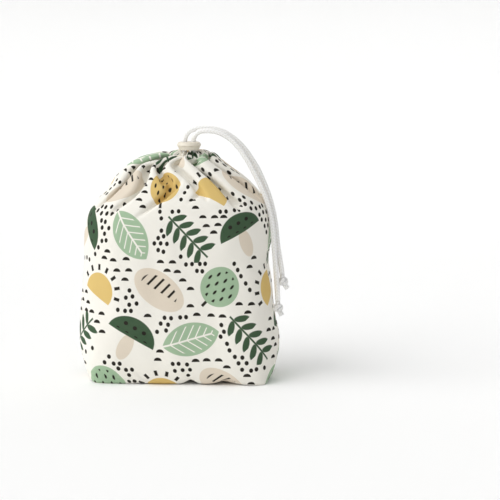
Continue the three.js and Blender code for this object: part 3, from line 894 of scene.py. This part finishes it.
def printed_cotton():
    """Cream cotton with a scattered print of leaves, suns, ferns, pebbles, mushrooms and shrubs.

    The cloth's flat coordinates are cut into cells laid like bricks. Each cell holds one motif,
    moved and turned by chance. Small dots and half-moons fill the places that the motifs leave.
    """
    g = Graph("printed_cotton")
    u, v = g.flat()
    # The back is a panel of its own, so the print doesn't run on across the side seams.
    back = u.above(0.5)
    x, y = u * FLAT_WIDTH + back * 37.0, v * FLAT_WIDTH + back * 19.0

    def motif_at(x, y):
        """The kind of motif in the cell at a place, the place in its own axes, and a chance."""
        cell_x, cell_y, size = 53.0, 45.0, 1.42
        across, upward = x / cell_x, y / cell_y + 0.3
        row = upward.floor()
        brick = across + row.mod(2.0) * 0.5
        column = brick.floor()
        first, second, third = g.chance(g.join(column, row, 3.7))
        lx = (brick.fract() - 0.5) * cell_x + (first - 0.5) * 2.4
        ly = (upward.fract() - 0.5) * cell_y + (second - 0.5) * 2.4
        angle = (third - 0.5) * 1.9
        c, s = angle.cos() / size, angle.sin() / size
        kind = (column * 2.0 + row * 3.0 + (row / 2.0).floor() * 2.0).mod(6.0)
        return kind, lx * c + ly * s, ly * c - lx * s, second

    kind, mx, my, second = motif_at(x, y)
    colour = CREAM

    def paint(which, distance, paint_colour):
        """Lays a colour inside a shape of one kind of motif."""
        nonlocal colour
        colour = g.mix(kind.near(which) * filled(distance), colour, paint_colour)

    # Leaf: two arcs that meet in points, with its veins left white.
    leaf = ((my.abs() + 11.2) * (my.abs() + 11.2) + mx * mx).sqrt() - 21.2
    rib = (my.abs() - 0.55).max(mx - 13.0)
    vein = ((mx - my.abs() * 0.9) / 5.2).fract()
    veins = ((vein - 0.5).abs() * 5.2 - 0.45).max(leaf + 1.8)
    paint(0, leaf, SAGE)
    paint(0, rib.min(veins), CREAM)

    # Half-sun with short rays.
    low = my + 5.0
    far = (mx * mx + low * low).sqrt()
    sun = (far - 11.5).max(-low - 3.0)
    bearing = low.math("ARCTAN2", mx)
    beam = ((bearing * (7.0 / math.pi)).fract() - 0.5).abs() * far * (math.pi / 7.0)
    rays = (beam - 1.0).max((far - 14.9).abs() - 1.8).max(-low - 1.0)
    paint(1, sun, MUSTARD)
    paint(1, rays, INK)

    # Fern: leaflets on both sides of a stem.
    tier = mx / 6.4 + 0.5
    fx, fy = turned(my.abs() - 4.6, (tier.fract() - 0.5) * 6.4 - 0.6, 32)
    leaflet = ellipse(fx, fy, 5.0, 1.95).max(mx.abs() - 16.0)
    stem = (my.abs() - 0.6).max(mx.abs() - 18.0)
    paint(2, leaflet.min(stem), FOREST)

    # Pebble with stripes.
    pebble = ellipse(mx + my * 0.15, my, 17.5, 10.5)
    stripe = (((mx - my * 0.25) / 5.0).fract() - 0.5).abs() * 5.0 - 0.75
    paint(3, pebble, SAND)
    paint(3, stripe.max(pebble + 3.0).max(-my - 1.0), INK)

    # Mushroom: a domed cap with spots on a short stalk.
    cap = ellipse(mx, my - 1.0, 15.5, 13.0).max(1.5 - my)
    stalk = ellipse(mx, my + 5.5, 4.4, 9.0)
    spot_x = (mx / 6.2 + (my / 5.4).floor().mod(2.0) * 0.5).fract() - 0.5
    spot_y = (my / 5.4).fract() - 0.5
    spots = ellipse(spot_x * 6.2, spot_y * 5.4, 1.35, 1.25).max(cap + 1.6)
    paint(4, stalk, SAND)
    paint(4, cap, FOREST)
    paint(4, spots, INK)

    # Round shrub with dashes on a thin trunk.
    shrub = ellipse(mx, my - 2.2, 11.8, 12.8)
    trunk = (mx.abs() - 0.9).max((my + 8.5).abs() - 6.0)
    dash_x = (mx / 5.6 + (my / 5.0).floor().mod(2.0) * 0.5).fract() - 0.5
    dash_y = (my / 5.0).fract() - 0.5
    dashes = ellipse(dash_x * 5.6, dash_y * 5.0, 0.75, 1.7).max(shrub + 2.0)
    paint(5, trunk, INK)
    paint(5, shrub, g.mix(second.above(0.5), MUSTARD, SAGE))
    paint(5, dashes, INK)

    # Small marks between the motifs. A mark is kept whole or left out, by whether the middle of
    # it is clear of an ellipse round the motif there, whose half sizes follow the kinds above.
    clear_x = (19.5, 18.5, 19.5, 19.5, 17.5, 14.0)
    clear_y = (12.0, 14.0, 11.5, 12.5, 16.0, 17.5)

    def marks(size_x, size_y, seed, shape, low, high):
        """Scatters one kind of mark over cells of a size, where soft noise is between two levels."""
        nonlocal colour
        mark_row = (y / size_y).floor()
        mark_brick = x / size_x + mark_row.mod(2.0) * 0.5
        a, b, _ = g.chance(g.join(mark_brick.floor(), mark_row, seed))
        sx = (mark_brick.fract() - 0.5) * size_x + (a - 0.5) * size_x * 0.35
        sy = ((y / size_y).fract() - 0.5) * size_y + (b - 0.5) * size_y * 0.35
        home_x, home_y = x - sx, y - sy
        home_kind, hx, hy, _ = motif_at(home_x, home_y)
        hx = hx / sum(home_kind.near(i) * half for i, half in enumerate(clear_x))
        hy = hy / sum(home_kind.near(i) * half for i, half in enumerate(clear_y))
        clear = (hx * hx + hy * hy).above(1.0)
        patch = g.noise(g.join(home_x * 0.024, home_y * 0.024, 4.2), 1.0, 1.0)
        within = patch.above(low) * (1.0 - patch.above(high))
        colour = g.mix(filled(shape(sx, sy)) * clear * within, colour, INK)

    marks(6.4, 5.8, 9.1, lambda sx, sy: ellipse(sx, sy, 1.75, 2.0), 0.2, 0.475)
    marks(10.8, 7.8, 5.3, lambda sx, sy: ellipse(sx, sy + 1.0, 3.4, 3.0).max(-sy - 1.0), 0.53, 0.9)

    wear = g.noise(g.join(x, y, 0.0), 0.05, 3.0)
    colour = g.mix(wear * 0.05, colour, linear("dcd3c2"))
    weave = (x * (TURN / 0.9)).sin() * (y * (TURN / 0.9)).sin()
    normal = g.bump(weave * 0.5 + slubs(g, x, y) * 0.8, 0.22, 0.0004)
    return g.finish(
        Base_Color=colour, Roughness=0.86, Normal=normal, Sheen_Weight=0.04, Specular_IOR_Level=0.12,
    )


def plain_reverse():
    """The cotton's unprinted reverse."""
    g = Graph("cotton_reverse")
    u, v = g.flat()
    slub = slubs(g, u * FLAT_WIDTH, v * FLAT_WIDTH)
    colour = g.mix(slub, linear("efe9dc"), linear("e4dccb"))
    return g.finish(Base_Color=colour, Roughness=0.9, Normal=g.bump(slub, 0.2, 0.0004))


def white_braid():
    """White cotton cord: the gaps between its modelled stitches are darkened with painted shade, the
    yarn is fuzzy.
    """
    g = Graph("white_braid")
    lap, along = g.flat()
    column = lap * float(BRAID_COLUMNS)
    lean = BRAID_LEAN - 2 * BRAID_LEAN * column.floor().mod(2.0)
    stitch = ((along + lean * (column.fract() - 0.5)) * math.pi).sin().abs()
    height = (stitch * (column.fract() * math.pi).sin()).sqrt()
    place = g.place()
    fuzz = g.noise(place, 2600.0, 3.0)
    tone = g.noise(place, 90.0, 2.0)
    colour = g.mix(tone * 0.6 + fuzz * 0.4, linear("ffffff"), linear("f8f7f4"))
    # Painted shade: the low places between the stitches are darkened towards e6e3dc.
    colour = g.mix((1.0 - height * 1.3).clamp(), colour, linear("e6e3dc"))
    normal = g.bump(fuzz, 0.3, 0.0003)
    return g.finish(
        Base_Color=colour, Roughness=0.88, Normal=normal, Sheen_Weight=0.4,
        Subsurface_Weight=0.7, Subsurface_Radius=(1, 1, 1), Subsurface_Scale=0.002,
    )


def cream_moulding():
    """Cream moulded plastic with a faint mould texture."""
    g = Graph("cream_moulding")
    place = g.place()
    cloudy = g.noise(place, 130.0, 3.0)
    grain = g.noise(place, 1900.0, 2.0)
    colour = g.mix(cloudy, linear("ece5d6"), linear("e2d9c6"))
    rough = 0.38 + grain * 0.16
    return g.finish(Base_Color=colour, Roughness=rough, Normal=g.bump(grain, 0.08, 0.0002))


def studio_white():
    """The studio's white paint, all but even."""
    g = Graph("studio_white")
    place = g.place()
    tone = g.noise(place, 1.5, 2.0)
    return g.finish(Base_Color=g.mix(tone, linear("ffffff"), linear("fdfdfc")), Roughness=0.9)


# Studio

# The camera's place in metres, sizes in pixels of the photograph, and the sensor in millimetres.
CAMERA_DISTANCE = 1.4
CAMERA_HEIGHT = 0.3077
CAMERA_AZIMUTH = math.radians(6.5)
FOCAL_PIXELS = 1609.2
IMAGE_PIXELS = 500
POUCH_PIXEL = 179.3
PITCH_PIXELS = 226.0
SENSOR = 36.0


def photo_camera():
    """The photograph's camera: right of the pouch's front, a little above it, looking past it."""
    data = bpy.data.cameras.new("photo_camera")
    data.sensor_width = SENSOR
    data.lens = FOCAL_PIXELS / IMAGE_PIXELS * SENSOR
    camera = bpy.data.objects.new("photo_camera", data)
    bpy.context.scene.collection.objects.link(camera)
    camera.location = (
        CAMERA_DISTANCE * math.sin(CAMERA_AZIMUTH),
        -CAMERA_DISTANCE * math.cos(CAMERA_AZIMUTH),
        CAMERA_HEIGHT,
    )
    aside = math.atan((IMAGE_PIXELS / 2 - POUCH_PIXEL) / FOCAL_PIXELS)
    down = math.atan(PITCH_PIXELS / FOCAL_PIXELS)
    camera.rotation_euler = Euler((math.pi / 2 - down, 0, CAMERA_AZIMUTH - aside))
    bpy.context.scene.camera = camera


def studio_floor():
    """A pale floor that curves up into a backdrop far behind."""
    depth = np.array([-2600.0, 900, 1500, 1850, 2080, 2200, 2230, 2240])
    height = np.array([0.0, 0, 12, 70, 190, 380, 700, 2600])
    width = np.array([-3000.0, 3000.0])
    y = np.repeat(depth[:, None], 2, axis=1)
    z = np.repeat(height[:, None], 2, axis=1)
    x = np.repeat(width[None], len(depth), axis=0)
    points = np.stack([x, y, z], axis=-1).reshape(-1, 3)
    clearance = 0.05
    points[:, 2] -= clearance
    faces = [[2 * i, 2 * i + 1, 2 * i + 3, 2 * i + 2] for i in range(len(depth) - 1)]
    floor = add_object("studio_floor", points, faces)
    floor.data.materials.append(studio_white())


def sun_light(name, towards, strength, spread):
    """A distant light from a direction, softened over an angle in degrees."""
    data = bpy.data.lights.new(name, "SUN")
    data.energy = strength
    data.angle = math.radians(spread)
    light = bpy.data.objects.new(name, data)
    light.rotation_euler = Vector(towards).to_track_quat("-Z", "Y").to_euler()
    bpy.context.scene.collection.objects.link(light)


def studio_lights():
    """A broad soft key from the upper left, a broader overhead light and a pale room."""
    sun_light("key", (0.80, 0.47, -0.67), 1.70, 62)
    sun_light("overhead", (0.1, 0.05, -1.0), 1.05, 110)
    room_strength = 0.297
    world = bpy.data.worlds.new("pale_room")
    world.use_nodes = True
    background = next(n for n in world.node_tree.nodes if n.type == "BACKGROUND")
    background.inputs["Color"].default_value = (1, 1, 1, 1)
    background.inputs["Strength"].default_value = room_strength
    bpy.context.scene.world = world
    bpy.context.scene.view_settings.view_transform = "Standard"


# The dressed model

def dress(piece, node, body, slot, *finishes):
    """Puts finishes on a piece that stands for a solid and rides on a body."""
    for finish in finishes:
        piece.data.materials.append(finish)
    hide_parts(node)
    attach(piece, body)


photo_camera()
braid = white_braid()

left_cord, left_path = cord_end("left_cord_end", -1, LEFT_ROUTE)
right_cord, right_path = cord_end("right_cord_end", 1, RIGHT_ROUTE)
left_knot = end_knot("left_overhand_knot", left_path)
right_knot = end_knot("right_overhand_knot", right_path)
for piece, node in (
    (casing_cord(), "drawcord_channel_run"),
    (left_cord, "drawcord_left_tail"),
    (right_cord, "drawcord_right_tail"),
    (left_knot, "left_tail_knot"),
    (right_knot, "right_tail_knot"),
):
    dress(piece, node, "pouch", "cotton_cord", braid)

pouch = pouch_cloth()
dress(pouch, "pouch_bag", "pouch", "printed_cotton", printed_cotton(), plain_reverse())

dress(cord_stopper(), "cord_stopper", "stopper", "cream_plastic", cream_moulding())

studio_floor()
studio_lights()
